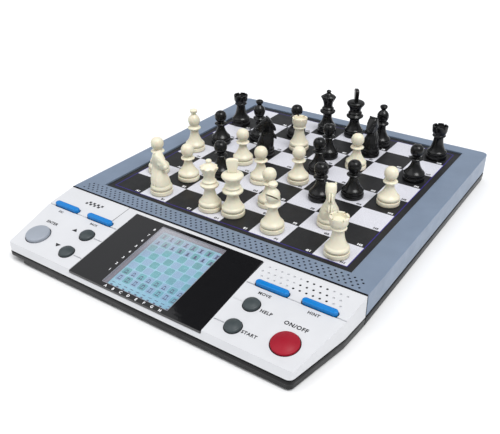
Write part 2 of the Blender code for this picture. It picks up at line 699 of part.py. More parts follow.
def make_pieces(colour, pieces, material):
    counts = {}
    for kind, file, rank, turn in pieces:
        counts[kind] = counts.get(kind, 0) + 1
        alone = kind in ("king", "queen")
        name = f"{colour}_{kind}" if alone else f"{colour}_{kind}_{counts[kind]}"
        make_piece(name, kind, piece_matrix(file, rank, turn), material)


make_base_shell()
make_board_frame()
make_playing_field()
make_control_panel()
make_display()
for key in ROUND_KEYS:
    make_round_key(key)
for key in BAR_KEYS:
    make_bar_key(key)
make_circuit_board()
make_keypad()
make_speaker()
make_batteries()
make_battery_cover()
make_feet()
make_pieces("white", WHITE_PIECES, "ivory_piece")
make_pieces("black", BLACK_PIECES, "black_piece")
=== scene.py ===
"""The looks of the electronic chess computer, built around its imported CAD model.

Lengths are in metres, in the CAD model's own frame: +X is the player's right, +Y the far side of the board
and +Z up, with the origin on the table under the middle of the body.
"""

import json
import math

import bmesh
import bpy
from mathutils import Matrix, Vector


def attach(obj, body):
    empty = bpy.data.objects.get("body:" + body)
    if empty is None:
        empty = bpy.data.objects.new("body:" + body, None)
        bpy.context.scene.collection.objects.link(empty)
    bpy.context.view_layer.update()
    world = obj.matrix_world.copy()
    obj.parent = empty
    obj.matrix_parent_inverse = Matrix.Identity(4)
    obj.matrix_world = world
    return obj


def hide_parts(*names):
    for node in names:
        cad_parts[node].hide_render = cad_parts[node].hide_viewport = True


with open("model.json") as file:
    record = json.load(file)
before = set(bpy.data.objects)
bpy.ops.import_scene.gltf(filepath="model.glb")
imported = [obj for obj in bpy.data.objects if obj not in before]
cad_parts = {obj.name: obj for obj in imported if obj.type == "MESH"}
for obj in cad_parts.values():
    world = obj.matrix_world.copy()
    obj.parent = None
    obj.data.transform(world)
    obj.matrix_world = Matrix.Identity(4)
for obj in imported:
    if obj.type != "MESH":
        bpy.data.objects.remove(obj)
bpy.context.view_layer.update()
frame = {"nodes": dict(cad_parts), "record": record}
NODES = frame["nodes"]
UNMOVED = Matrix.Identity(4)

# Body
SQUARE = 0.025
BODY_WIDTH = 0.2493
BOARD_CENTRE_Y = 0.0376
BOARD_Z = 0.0235
BORDER_LINE = 0.0006
PIECE_GAP = 0.0003
SEAM_Y = -0.0838
CREASE_Y = -0.1086
CREASE_Z = 0.0214
PANEL_REAR_Z = 0.0242
FRONT_SLOPE = math.radians(9.3)
REAR_SLOPE = math.atan2(PANEL_REAR_Z - CREASE_Z, SEAM_Y - CREASE_Y)
FRONT_PLANE = Matrix.Translation((0, CREASE_Y, CREASE_Z)) @ Matrix.Rotation(FRONT_SLOPE, 4, "X")
REAR_PLANE = Matrix.Translation((0, CREASE_Y, CREASE_Z)) @ Matrix.Rotation(REAR_SLOPE, 4, "X")

# Display: distances along the front plane are from the crease, positive to the rear
DISPLAY_HALF_WIDTH = 2.165 * SQUARE
DISPLAY_BACK = 0.0206
DISPLAY_FRONT = -0.0466
DISPLAY_THICKNESS = 0.002
WINDOW_HALF_WIDTH = 1.085 * SQUARE
WINDOW_BACK = 0.0178
WINDOW_FRONT = -0.0432
RIM_WIDTH = 0.0003
RIM_BOTTOM = -0.0008
RIM_TOP = 0.00004
LENS_BOTTOM = -0.0009
LENS_TOP = -0.0001
BOX_WALL = 0.0008
BOX_LEAN = 0.0016
BOX_TOP = -0.0010
BOX_CLEARANCE = 0.0002
LCD_DEPTH = 0.0033
LCD_CELL = 0.0064
LCD_LEFT = -0.0250
LCD_FIRST_RANK = -0.0358
CELL_REACH = 0.46  # from a cell's middle to its printed edge, in cells
CELL_ROUNDNESS = 5.0
INK_THICKNESS = 0.00005
MARK_COUNT = 10
MARK_PITCH = 0.8 * LCD_CELL
MARK_ROWS = ((0.0052, 0.0026, 0.0004), (0.0030, 0.0016, 0.0009))  # distance from the edge, width, height

# Control keys
KEY_UNDER = -0.0023  # top of the flange that keeps a key in
FLANGE_HEIGHT = 0.001
FLANGE_REACH = 0.0012
ROUND_KEYS = {
    # name: (x, distance before the crease, radius, height, dome, material)
    "enter_button": (-0.1018, 0.0307, 0.0086, 0.0028, 0.0004, "grey_key"),
    "up_button": (-0.0690, 0.0150, 0.0052, 0.0030, 0.0010, "dark_key"),
    "down_button": (-0.0690, 0.0343, 0.0052, 0.0030, 0.0010, "dark_key"),
    "help_button": (0.0688, 0.0150, 0.0052, 0.0030, 0.0010, "dark_key"),
    "start_button": (0.0688, 0.0343, 0.0052, 0.0030, 0.0010, "dark_key"),
    "power_button": (0.1015, 0.0307, 0.0085, 0.0034, 0.0020, "red_key"),
}
BAR_KEYS = {
    # name: x
    "outer_left_bar": -0.1062,
    "inner_left_bar": -0.0730,
    "inner_right_bar": 0.0726,
    "outer_right_bar": 0.1052,
}
BAR_LENGTH = 0.0234
BAR_WIDTH = 0.0044
BAR_HEIGHT = 0.0025
BAR_BACK = 0.0021
RING_OUTSIDE = 0.0006
RING_INSIDE = 0.00015
RING_TOP = 0.0002
RING_DEPTH = 0.0008
RING_CLEARANCE = 0.00005

# Small openings in the covers
FRAME_TOP_Z = 0.0249
VENT_PITCH = 0.00458
VENT_RADIUS = 0.0008
VENT_ROWS = (-0.0803, -0.0775, -0.0748, -0.0721)
VENT_FIRST_X = -0.1163
VENT_COUNT = 52
VENT_DEPTH = 0.001
SHADE_SHEET_DEPTH = 0.00015  # how far the black sheets of painted shade behind the openings lie below the surface
SHADE_SHEET_OVERLAP = 0.00005
SPEAKER_PITCH = 0.00453
SPEAKER_ROWS = (
    # first x, y, first and last hole that goes right through
    (0.0605, -0.0904, 6, 9),
    (0.0583, -0.0953, 6, 10),
    (0.0605, -0.0998, 5, 10),
)
SPEAKER_COUNT = 13
SPEAKER_HOLE = 0.0008
HOLE_DEPTH = 0.001
DIMPLE_DEPTH = 0.0009
GROOVE_WIDTH = 0.0010
GROOVE_DEPTH = 0.0011
GROOVE_START = DISPLAY_HALF_WIDTH + 0.0010
GROOVE_END = 0.126
SHORT_GROOVE_END = 0.0625
SEAM_HALF_GAP = 0.0006
SEAM_STRIP_BOTTOM_Z = 0.0090
SEAM_STRIP_TOP_Z = 0.0247
SEAM_STRIP_INSET = 0.0001
SEAM_STRIP_CLEARANCE = 0.00005

# Widths of rounded edges
FRAME_EDGE = 0.0007
PANEL_EDGE = 0.0006
BASE_EDGE = 0.0004
PLATE_EDGE = 0.00025
LENS_EDGE = 0.00015
BOX_EDGE = 0.0001
BAR_EDGE = 0.0008

# Lettering
LABELS = (
    # text, x, distance before (-) or behind (+) the crease, height
    ("ESC", -0.1070, -0.0040, 0.0017), ("BACK", -0.0735, -0.0039, 0.0017),
    ("ENTER", -0.1030, -0.0164, 0.0023), ("MOVE", 0.0712, -0.0045, 0.0021),
    ("HELP", 0.0798, -0.0163, 0.0023), ("START", 0.0803, -0.0349, 0.0022),
    ("HINT", 0.1045, -0.0042, 0.0021), ("ON/OFF", 0.1005, -0.0172, 0.0027),
)
LABEL_LIFT = 0.00008
BOLDNESS = 0.05  # a share of the letters' height
ARROWS = ((-0.0812, 0.0145, 1), (-0.0806, 0.0320, -1))  # x, distance before the crease, up or down
ARROW_HALF_WIDTH = 0.0024
CHEQUER_X = -0.0990
CHEQUER_Y = 0.0125
CHEQUER_SQUARE = 0.0020
CHEQUER_COUNT = 8
LINE_LOW = (-0.0648, 0.0050)  # corners of the printed line left of the display, behind the crease
LINE_HIGH = (-0.0644, 0.0240)
DISPLAY_LETTER = 0.0019
FILE_LETTER_GAP = 0.0020  # from the window's edge to the middle of a letter or number
RANK_NUMBER_GAP = 0.0030
SQUARE_LETTER = 0.0020
SQUARE_BOLDNESS = 0.09
SQUARE_NAME_X = 0.84  # place of a name within its square, in squares
SQUARE_NAME_Y = 0.09

# Chess pieces as (kind, file, rank, turn in degrees); the board's near left corner is (0, 0)
WHITE_PIECES = (
    ("rook", 7.53, 0.35, 0), ("king", 4.09, 0.56, 36), ("queen", 3.35, 0.45, 0),
    ("bishop", 5.49, 0.45, 270), ("bishop", 0.38, 3.50, 150), ("knight", 1.51, 0.43, 355),
    ("knight", 6.65, 1.57, 118), ("rook", 3.35, 5.55, 0), ("pawn", 0.49, 1.48, 0), ("pawn", 1.62, 1.61, 0),
    ("pawn", 4.65, 1.60, 0), ("pawn", 3.62, 2.72, 0), ("pawn", 2.36, 3.56, 0), ("pawn", 4.60, 3.37, 0),
    ("pawn", 7.53, 3.62, 0), ("pawn", 5.66, 5.28, 0),
)
BLACK_PIECES = (
    ("rook", 0.37, 6.31, 0), ("king", 4.42, 7.64, 124), ("queen", 3.42, 7.46, 0),
    ("bishop", 1.75, 5.48, 200), ("bishop", 5.57, 7.42, 260), ("knight", 2.61, 4.50, 215),
    ("knight", 5.60, 6.45, 262), ("rook", 7.58, 7.48, 0), ("pawn", 0.79, 4.47, 0), ("pawn", 2.33, 2.38, 0),
    ("pawn", 2.71, 6.45, 0), ("pawn", 4.50, 5.53, 0), ("pawn", 4.80, 4.31, 0), ("pawn", 5.71, 2.75, 0),
    ("pawn", 6.45, 3.44, 0), ("pawn", 7.56, 5.53, 0),
)

# Turned outlines in millimetres, as (radius, height) from the bottom up
MM = 0.001
BASE_OUTLINE = (
    (0, 0), (8.25, 0), (8.5, 0.12), (8.6, 0.4), (8.6, 2.6), (8.5, 3.0), (8.1, 3.25), (7.6, 3.35),
    (7.45, 3.55), (7.7, 3.8), (8.1, 4.2), (8.3, 4.8), (8.3, 5.4),
)
OUTLINES = {
    "pawn": (
        (8.1, 6.1), (7.5, 6.8), (6.7, 7.5), (5.9, 8.5), (5.15, 9.7), (4.4, 11.0), (3.8, 12.4),
        (3.35, 13.9), (3.05, 15.4), (2.95, 16.3), (3.1, 16.8), (3.7, 17.1), (4.9, 17.4), (5.35, 17.7),
        (5.4, 18.1), (5.1, 18.5), (4.0, 18.9), (3.2, 19.3), (2.9, 19.7), (3.3, 20.3), (4.3, 21.3),
        (4.95, 22.7), (5.2, 24.4), (5.0, 26.0), (4.3, 27.6), (3.2, 28.7), (1.7, 29.35), (0, 29.5),
    ),
    "rook": (
        (8.1, 6.1), (7.5, 6.8), (7.0, 7.2), (6.8, 7.6), (6.2, 8.6), (5.5, 10.0), (4.9, 11.8), (4.4, 13.8),
        (4.1, 15.8), (3.95, 17.6), (4.0, 18.6), (4.6, 19.2), (5.4, 19.6), (5.55, 20.1), (5.35, 20.6),
        (5.0, 21.0), (5.1, 21.8), (5.6, 22.5), (6.0, 23.3), (6.2, 24.4), (6.35, 26.4), (6.5, 28.0),
        (6.4, 28.4), (6.1, 28.5), (5.1, 28.5), (4.9, 28.4), (4.8, 28.0), (4.6, 26.4), (4.3, 26.0),
        (0, 26.0),
    ),
    "bishop": (
        (8.1, 6.1), (7.5, 6.8), (6.8, 7.5), (6.1, 8.4), (5.3, 9.8), (4.6, 11.4), (4.0, 13.2),
        (3.55, 15.2), (3.4, 17.0), (3.7, 18.1), (4.7, 18.8), (5.4, 19.3), (5.55, 20.0), (5.2, 20.6),
        (4.3, 21.1), (3.7, 21.6), (3.6, 22.1), (4.0, 22.8), (4.6, 24.0), (5.0, 25.7), (5.05, 27.4),
        (4.6, 28.9), (3.7, 30.3), (2.5, 31.4), (1.9, 31.9), (1.8, 32.3), (2.2, 32.9), (2.9, 33.8),
        (3.3, 34.8), (3.2, 35.6), (2.4, 36.3), (1.2, 36.75), (0, 36.9),
    ),
    "queen": (
        (8.1, 6.1), (7.6, 6.7), (7.0, 7.1), (6.85, 7.5), (6.4, 8.3), (5.6, 9.5), (4.9, 11.0),
        (4.35, 12.6), (3.95, 14.4), (3.85, 15.6), (4.1, 16.6), (5.1, 17.6), (6.4, 18.4), (6.9, 19.1),
        (6.9, 20.0), (6.2, 20.6), (5.3, 21.0), (5.0, 21.4), (5.3, 21.9), (5.35, 22.6), (4.8, 23.2),
        (4.2, 23.8), (4.0, 24.8), (4.1, 26.4), (4.6, 28.4), (5.6, 30.4), (6.5, 31.9), (6.85, 32.7),
        (6.8, 33.3), (6.0, 33.9), (4.6, 34.6), (3.2, 35.4), (2.2, 36.2), (1.85, 36.8), (1.9, 37.2),
        (2.15, 37.8), (2.1, 38.4), (1.6, 38.95), (0.8, 39.25), (0, 39.3),
    ),
    "king": (
        (8.15, 6.1), (7.7, 6.7), (7.2, 7.1), (7.0, 7.5), (6.6, 8.3), (5.9, 9.4), (5.2, 10.8),
        (4.65, 12.3), (4.25, 13.8), (4.2, 15.0), (4.5, 16.0), (5.4, 17.0), (6.8, 17.8), (7.45, 18.5),
        (7.5, 19.4), (6.9, 20.0), (6.0, 20.5), (5.7, 20.9), (6.0, 21.4), (6.15, 22.0), (5.8, 22.7),
        (5.2, 23.2), (5.0, 24.0), (5.1, 25.0), (5.5, 26.4), (6.3, 27.8), (7.3, 29.0), (7.85, 29.9),
        (7.9, 30.7), (7.5, 31.5), (6.6, 32.2), (5.0, 32.8), (3.0, 33.2), (0, 33.3),
    ),
    "knight": ((8.1, 6.1), (7.7, 6.7), (7.5, 7.1), (6.6, 7.3), (0, 7.3)),
}
PIECE_SMOOTHING = 38
PIECE_PAINTS = {"white": "ivory_piece", "black": "black_piece"}

# What is added to or cut from the turned shapes
FINIAL_OUTLINE = (
    # half width and height in millimetres
    (3.2, 31.5), (3.2, 34.0), (3.5, 36.5), (4.0, 39.0), (4.3, 40.8), (4.25, 41.9), (3.8, 42.7), (2.8, 43.2),
    (1.4, 43.4),
)
FINIAL_HALF_THICKNESS = 0.0017
FINIAL_EDGE = 0.0006
QUEEN_SCALLOPS = (8, 0.20, 0.0290, 0.0350)  # count, depth as a share of the radius, lowest and highest
PIECE_REACH = 0.01  # more than any piece's radius
NOTCH_TURNS = (15, 75, 135)
NOTCH_HALF_WIDTH = 0.0008
NOTCH_BOTTOM = 0.0274
SLOT_CENTRE = 0.0245
SLOT_TILT = math.radians(-40)
SLOT_START = 0.0012
SLOT_HALF_WIDTH = 0.00045

# The knight's head, which looks along +X, in millimetres
KNIGHT_SECTIONS = (
    # height, back, front and half the thickness
    (6.6, -7.3, 6.9, 6.9), (8.0, -7.5, 6.8, 6.9), (9.0, -7.7, 6.6, 6.8), (12.0, -7.8, 5.8, 6.1),
    (15.0, -7.8, 4.7, 4.8), (17.5, -7.7, 3.5, 3.6), (19.6, -7.6, 2.9, 2.9), (20.4, -7.6, 4.6, 2.8),
    (21.2, -7.5, 7.2, 2.85), (22.4, -7.4, 8.1, 3.0), (24.0, -7.2, 8.0, 3.3), (26.0, -6.9, 6.3, 3.7),
    (28.0, -6.3, 4.5, 3.9), (30.0, -5.5, 2.7, 3.9), (31.4, -4.7, 1.3, 3.7), (32.4, -3.8, 0.2, 3.2),
    (32.9, -3.0, -0.8, 2.4),
)
KNIGHT_SIDES = 48
KNIGHT_STEP = 0.4
KNIGHT_LUMPS = (
    # cheek, brow, eye, nostril and two of the mane: x, y, z, half sizes along the face, across it and up
    (1.6, 1.9, 24.6, 2.6, 1.9, 2.3), (1.6, 2.4, 28.6, 2.0, 1.0, 0.8), (2.3, 2.9, 27.5, 0.8, 0.5, 0.7),
    (6.3, 1.0, 22.7, 1.9, 1.2, 1.8), (-6.3, 0.9, 25.0, 1.9, 1.0, 4.5), (-6.9, 0.9, 18.0, 1.3, 1.0, 5.0),
)
KNIGHT_LUMP_LEAN = math.radians(38)
EAR_PLACE = (-1.6, 2.5, 31.4)
EAR_BASE = 1.6
EAR_TIP = 0.7
EAR_LENGTH = 4.0
EAR_LEAN = math.radians(14)

# Studio
FLOOR_HALF = 4
CARD_DIRECTION = Vector((0.494, -0.395, -0.776))
CARD_PLACE = Vector((-0.300, 0.235, 0.80))
CARD_WIDTH = 0.30
CARD_HEIGHT = 0.52
SKY_LOW = (0.30, 0.31, 0.32)
SKY_HIGH = (0.84, 0.85, 0.87)
SUNS = (
    # name, turn in degrees, strength, softness in degrees
    ("key_light", (9, 26, 0), 1.95, 30),
    ("fill_light", (27, -34, 0), 0.45, 50),
)
CAMERA_PLACE = Vector((0.2367, -0.3714, 0.2543))
CAMERA_RIGHT = Vector((0.82777, 0.56106, -0.00322))
CAMERA_UP = Vector((-0.28113, 0.41973, 0.86302))
CAMERA_LENS = 46.09


# ---- Materials ----

def add_node(tree, kind, inputs=(), **settings):
    """A shader node with its settings; inputs maps a socket's name or number to a value or another socket."""
    node = tree.nodes.new(kind)
    for name, value in settings.items():
        setattr(node, name, value)
    for name, value in dict(inputs).items():
        if isinstance(value, bpy.types.NodeSocket):
            tree.links.new(value, node.inputs[name])
        else:
            node.inputs[name].default_value = value
    return node


def math_node(tree, operation, first, second=0.0):
    return add_node(tree, "ShaderNodeMath", {0: first, 1: second}, operation=operation).outputs[0]


def clamped(tree, value):
    return add_node(tree, "ShaderNodeMath", {0: value, 1: 0.0}, operation="ADD", use_clamp=True).outputs[0]


def mix_colours(tree, factor, first, second):
    mix = add_node(tree, "ShaderNodeMix", {"Factor": factor}, data_type="RGBA")
    for socket, value in ((mix.inputs[6], first), (mix.inputs[7], second)):
        if isinstance(value, bpy.types.NodeSocket):
            tree.links.new(value, socket)
        else:
            socket.default_value = (*value, 1)
    return mix.outputs[2]


def place_of(tree):
    return add_node(tree, "ShaderNodeTexCoord").outputs["Object"]


def noise(tree, size, detail=2.0):
    """Noise with blobs of about that size, from 0 to 1."""
    inputs = {"Vector": place_of(tree), "Scale": 1 / size, "Detail": detail}
    return add_node(tree, "ShaderNodeTexNoise", inputs).outputs["Fac"]


def spread(tree, value, low, high):
    """A noise or shade value stretched so that its middle span runs from low to high."""
    made = add_node(tree, "ShaderNodeMapRange", {
        "Value": value, "From Min": 0.3, "From Max": 0.7, "To Min": low, "To Max": high,
    })
    return made.outputs[0]


def scaled(colour, factor):
    return tuple(min(1.0, channel * factor) for channel in colour)


def plastic(name, colour, roughness, grain=0.15, grain_size=0.0004, mottle=0.05, edge=0.0, **shader_values):
    """Moulded plastic: faint cloudy colour, uneven gloss and a fine-grained surface."""
    material = bpy.data.materials.new(name)
    material.use_nodes = True
    tree = material.node_tree
    shader = tree.nodes["Principled BSDF"]
    cloudy = spread(tree, noise(tree, 0.02), 0.0, 1.0)
    surface = mix_colours(tree, cloudy, scaled(colour, 1 - mottle), scaled(colour, 1 + mottle))
    tree.links.new(surface, shader.inputs["Base Color"])
    smears = spread(tree, noise(tree, 0.007, 4.0), roughness * 0.85, roughness * 1.15)
    tree.links.new(smears, shader.inputs["Roughness"])
    bump = add_node(tree, "ShaderNodeBump", {
        "Height": noise(tree, grain_size, 3.0), "Strength": grain, "Distance": grain_size / 4,
    })
    if edge:
        rounded = add_node(tree, "ShaderNodeBevel", {"Radius": edge}, samples=4)
        tree.links.new(rounded.outputs[0], bump.inputs["Normal"])
    tree.links.new(bump.outputs[0], shader.inputs["Normal"])
    for socket, value in shader_values.items():
        shader.inputs[socket.replace("_", " ")].default_value = value
    return material


def board_print(name):
    """The printed chequer: silver and charcoal squares inside a thin violet line and a dark margin."""
    silver, charcoal, violet = (0.62, 0.62, 0.67), (0.013, 0.013, 0.014), (0.035, 0.020, 0.22)
    material = plastic(name, charcoal, 0.42, grain=0.35, grain_size=0.0003, Specular_IOR_Level=0.22)
    tree = material.node_tree
    shader = tree.nodes["Principled BSDF"]
    place = add_node(tree, "ShaderNodeSeparateXYZ", {0: place_of(tree)})
    x = place.outputs[0]
    y = math_node(tree, "SUBTRACT", place.outputs[1], BOARD_CENTRE_Y)
    column = math_node(tree, "FLOOR", math_node(tree, "DIVIDE", x, SQUARE))
    row = math_node(tree, "FLOOR", math_node(tree, "DIVIDE", y, SQUARE))
    odd = math_node(tree, "FLOORED_MODULO", math_node(tree, "ADD", column, row), 2.0)
    reach = math_node(tree, "MAXIMUM", math_node(tree, "ABSOLUTE", x), math_node(tree, "ABSOLUTE", y))
    inside = math_node(tree, "LESS_THAN", reach, 4 * SQUARE)
    near_line = math_node(tree, "LESS_THAN", reach, 4 * SQUARE + BORDER_LINE)
    sparkle = spread(tree, noise(tree, 0.0006, 4.0), 0.0, 1.0)
    light = mix_colours(tree, sparkle, scaled(silver, 0.84), scaled(silver, 1.16))
    dark = mix_colours(tree, sparkle, scaled(charcoal, 0.6), scaled(charcoal, 1.5))
    squares = mix_colours(tree, odd, dark, light)
    outside = mix_colours(tree, near_line, dark, violet)
    tree.links.new(mix_colours(tree, inside, outside, squares), shader.inputs["Base Color"])
    return material


def lcd_print(name):
    """The liquid crystal screen: teal and lilac cells on light blue, with painted shade that deepens the blue
    towards the near right corner.
    """
    ground, teal, lilac = (0.25, 0.49, 0.60), (0.085, 0.28, 0.30), (0.23, 0.37, 0.52)
    shade_blue, shade_gain = (0.07, 0.27, 0.45), 0.06
    material = plastic(name, ground, 0.35, grain=0.05)
    tree = material.node_tree
    shader = tree.nodes["Principled BSDF"]
    from_crease = {0: place_of(tree), 1: FRONT_PLANE.translation}
    slope = add_node(tree, "ShaderNodeVectorMath", from_crease, operation="SUBTRACT")
    turn = add_node(tree, "ShaderNodeVectorRotate", {
        "Vector": slope.outputs[0], "Axis": (1, 0, 0), "Angle": -FRONT_SLOPE,
    })
    place = add_node(tree, "ShaderNodeSeparateXYZ", {0: turn.outputs[0]})
    across = math_node(tree, "DIVIDE", math_node(tree, "SUBTRACT", place.outputs[0], LCD_LEFT), LCD_CELL)
    along = math_node(tree, "DIVIDE", math_node(tree, "SUBTRACT", place.outputs[1], LCD_FIRST_RANK), LCD_CELL)
    whole = math_node(tree, "ADD", math_node(tree, "FLOOR", across), math_node(tree, "FLOOR", along))
    odd = math_node(tree, "FLOORED_MODULO", whole, 2.0)
    parts = []
    for position in (across, along):
        from_middle = math_node(tree, "SUBTRACT", math_node(tree, "FRACT", position), 0.5)
        parts.append(math_node(tree, "ABSOLUTE", from_middle))
        outside = math_node(tree, "ABSOLUTE", math_node(tree, "SUBTRACT", position, 4.0))
        parts.append(math_node(tree, "GREATER_THAN", outside, 4.0))
    powers = [math_node(tree, "POWER", parts[part], CELL_ROUNDNESS) for part in (0, 2)]
    in_cell = math_node(tree, "LESS_THAN", math_node(tree, "ADD", *powers), CELL_REACH ** CELL_ROUNDNESS)
    off_board = math_node(tree, "MAXIMUM", parts[1], parts[3])
    shown = math_node(tree, "SUBTRACT", in_cell, off_board)
    uneven = spread(tree, noise(tree, 0.008), 0.0, 1.0)
    teal_part = mix_colours(tree, uneven, teal, scaled(teal, 1.35))
    cells = mix_colours(tree, odd, lilac, teal_part)
    screen = mix_colours(tree, clamped(tree, shown), ground, cells)
    # painted shade: the screen turns deeper blue towards its near right corner
    corner_shade = math_node(tree, "MULTIPLY", math_node(tree, "SUBTRACT", across, along), shade_gain)
    tree.links.new(mix_colours(tree, clamped(tree, corner_shade), screen, shade_blue), shader.inputs["Base Color"])
    return material


def clear_lens(name):
    """The clear part of the display plate, with a painted whitish reflection that makes it less clear towards
    its rear left corner.
    """
    least, most = 0.06, 0.5
    rear_gain, left_gain = 9.0, -5.0
    material = plastic(name, (0.72, 0.72, 0.78), 0.08, grain=0.0, mottle=0.02)
    tree = material.node_tree
    place = add_node(tree, "ShaderNodeSeparateXYZ", {0: place_of(tree)})
    # painted reflection: the lens turns more opaque and whitish towards the rear left
    rear = math_node(tree, "MULTIPLY", place.outputs[1], rear_gain)
    left = math_node(tree, "MULTIPLY", place.outputs[0], left_gain)
    painted_sheen = math_node(tree, "ADD", math_node(tree, "ADD", rear, left), least)
    limited = math_node(tree, "MINIMUM", math_node(tree, "MAXIMUM", painted_sheen, least), most)
    tree.links.new(limited, tree.nodes["Principled BSDF"].inputs["Alpha"])
    return material


def paint_crease_shade(material, colour):
    """Paints shade into the narrow creases of a moulding, mixing its colour towards the given one where the
    surface is hemmed in.
    """
    tree = material.node_tree
    base = tree.nodes["Principled BSDF"].inputs["Base Color"]
    surface = base.links[0].from_socket
    open_sky = add_node(tree, "ShaderNodeAmbientOcclusion", {"Distance": 0.003}, samples=4).outputs["AO"]
    crease = spread(tree, open_sky, 1.0, 0.0)
    tree.links.new(mix_colours(tree, clamped(tree, crease), surface, colour), base)
    return material


PAINTS = {
    "black_plastic": plastic(
        "black_plastic", (0.004, 0.004, 0.0045), 0.34, grain=0.4, edge=0.0006, Specular_IOR_Level=0.22,
    ),
    "blue_grey_plastic": plastic("blue_grey_plastic", (0.205, 0.262, 0.355), 0.36, grain=0.25, Metallic=0.3),
    "silver_plastic": plastic(
        "silver_plastic", (0.665, 0.67, 0.69), 0.38, grain=0.3, mottle=0.02, Metallic=0.1,
    ),
    "gloss_black": plastic("gloss_black", (0.008, 0.008, 0.009), 0.06, grain=0.02, grain_size=0.003),
    "light_box": plastic("light_box", (0.16, 0.14, 0.17), 0.45),
    # painted highlight for the cut edge of the display window
    "glint_paint": plastic("glint_paint", (0.26, 0.25, 0.28), 0.3, grain=0.05),
    "display_glass": lcd_print("display_glass"),
    "clear_lens": clear_lens("clear_lens"),
    "overlay_sheet": board_print("overlay_sheet"),
    "sensor_film": plastic("sensor_film", (0.55, 0.50, 0.30), 0.5),
    "circuit_green": plastic("circuit_green", (0.02, 0.16, 0.06), 0.45, mottle=0.3),
    "speaker_black": plastic("speaker_black", (0.03, 0.03, 0.03), 0.65, grain=0.6, grain_size=0.0008),
    # painted shade: black sheets and strips set where holes, gaps and key seats lie in shadow
    "shade_black": plastic(
        "shade_black", (0.004, 0.004, 0.005), 0.7, grain=0.6, Specular_IOR_Level=0.1,
    ),
    "keypad_rubber": plastic("keypad_rubber", (0.25, 0.25, 0.26), 0.8, grain=0.3),
    "foot_rubber": plastic("foot_rubber", (0.02, 0.02, 0.02), 0.85, grain=0.5, grain_size=0.0006),
    "battery_jacket": plastic("battery_jacket", (0.10, 0.30, 0.14), 0.3, grain=0.05, Metallic=0.5),
    "grey_key": plastic("grey_key", (0.30, 0.33, 0.38), 0.4, grain=0.2),
    "dark_key": plastic("dark_key", (0.036, 0.048, 0.052), 0.40, grain=0.3),
    "red_key": plastic(
        "red_key", (0.31, 0.0018, 0.016), 0.42, grain=0.25, mottle=0.08, Specular_IOR_Level=0.3,
    ),
    "blue_key": plastic("blue_key", (0.001, 0.18, 0.53), 0.25, grain=0.08, Specular_IOR_Level=0.35),
    # the ivory pieces get painted shade in their creases
    "ivory_piece": paint_crease_shade(plastic(
        "ivory_piece", (0.80, 0.75, 0.585), 0.32, grain=0.25, grain_size=0.0007, mottle=0.04,
        Subsurface_Weight=0.12, Subsurface_Scale=0.002,
    ), (0.36, 0.31, 0.20)),
    "black_piece": plastic(
        "black_piece", (0.003, 0.003, 0.0032), 0.24, grain=0.25, grain_size=0.0007, mottle=0.3,
        Specular_IOR_Level=0.36,
    ),
    "black_ink": plastic("black_ink", (0.015, 0.015, 0.017), 0.5),
    "white_ink": plastic("white_ink", (0.80, 0.80, 0.82), 0.5),
    "lcd_ink": plastic("lcd_ink", (0.02, 0.035, 0.12), 0.4),
}


# ---- Meshes ----

def add_object(name, mesh, matrix=UNMOVED):
    made = bpy.data.objects.new(name, mesh)
    made.matrix_world = matrix
    bpy.context.scene.collection.objects.link(made)
    return made


def finish_piece(made, paint, body, slot, *replaced):
    """Gives a new piece its material and ties it to the CAD model."""
    made.data.materials.clear()
    made.data.materials.append(PAINTS[paint])
    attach(made, body)
    if replaced:
        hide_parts(*replaced)
    return made


def mesh_of(name, work):
    mesh = bpy.data.meshes.new(name)
    work.to_mesh(mesh)
    work.free()
    return mesh


def add_mesh(name, work, matrix=UNMOVED):
    return add_object(name, mesh_of(name, work), matrix)


def applied(made):
    """Turns an object's modifiers into plain mesh."""
    bpy.context.view_layer.update()
    graph = bpy.context.evaluated_depsgraph_get()
    mesh = bpy.data.meshes.new_from_object(made.evaluated_get(graph))
    made.modifiers.clear()
    made.data = mesh
    return made


def smooth(mesh, angle):
    """Shades a mesh smooth except over edges sharper than the angle in degrees."""
    mesh.shade_smooth()
    mesh.set_sharp_from_angle(angle=math.radians(angle))


def bevelled(made, width, segments=2, angle=32):
    modifier = made.modifiers.new("round_edges", "BEVEL")
    modifier.width = width
    modifier.segments = segments
    modifier.limit_method = "ANGLE"
    modifier.angle_limit = math.radians(angle)
    modifier.use_clamp_overlap = True
    applied(made)
    smooth(made.data, angle)
    return made


def flat_faces(made, angle=32):
    """Keeps the wide faces shading flat beside small rounded edges."""
    smooth(made.data, angle)
    modifier = made.modifiers.new("weigh", "WEIGHTED_NORMAL")
    modifier.keep_sharp = True
    return applied(made)


def cut_away(made, cutter):
    modifier = made.modifiers.new("cut", "BOOLEAN")
    modifier.operation = "DIFFERENCE"
    modifier.solver = "EXACT"
    modifier.object = cutter
    applied(made)
    bpy.data.objects.remove(cutter)
    return made


def copy_of_node(node):
    """A CAD node's mesh as a new object, with its flat faces whole again."""
    work = bmesh.new()
    work.from_mesh(NODES[node].data)
    bmesh.ops.remove_doubles(work, verts=work.verts, dist=1e-5)
    bmesh.ops.dissolve_limit(work, angle_limit=math.radians(1), verts=work.verts, edges=work.edges)
    return add_mesh(node + "_shell", work)


def many_boxes(name, boxes):
    """One mesh of boxes, each given as (low corner, high corner, matrix)."""
    work = bmesh.new()
    for low, high, matrix in boxes:
        size = Vector(high) - Vector(low)
        middle = (Vector(high) + Vector(low)) / 2
        shape = matrix @ Matrix.Translation(middle) @ Matrix.Diagonal((*size, 1))
        bmesh.ops.create_cube(work, size=1, matrix=shape)
    return add_mesh(name, work)


def add_cone(work, base, tip, length, matrix, segments):
    bmesh.ops.create_cone(
        work, segments=segments, radius1=base, radius2=tip, depth=length, cap_ends=True, matrix=matrix,
    )


def many_pins(name, pins, radius, segments=10):
    """One mesh of round pins, each given as (matrix, low, high)."""
    work = bmesh.new()
    for matrix, low, high in pins:
        shape = matrix @ Matrix.Translation((0, 0, (low + high) / 2))
        add_cone(work, radius, radius, high - low, shape, segments)
    return add_mesh(name, work)


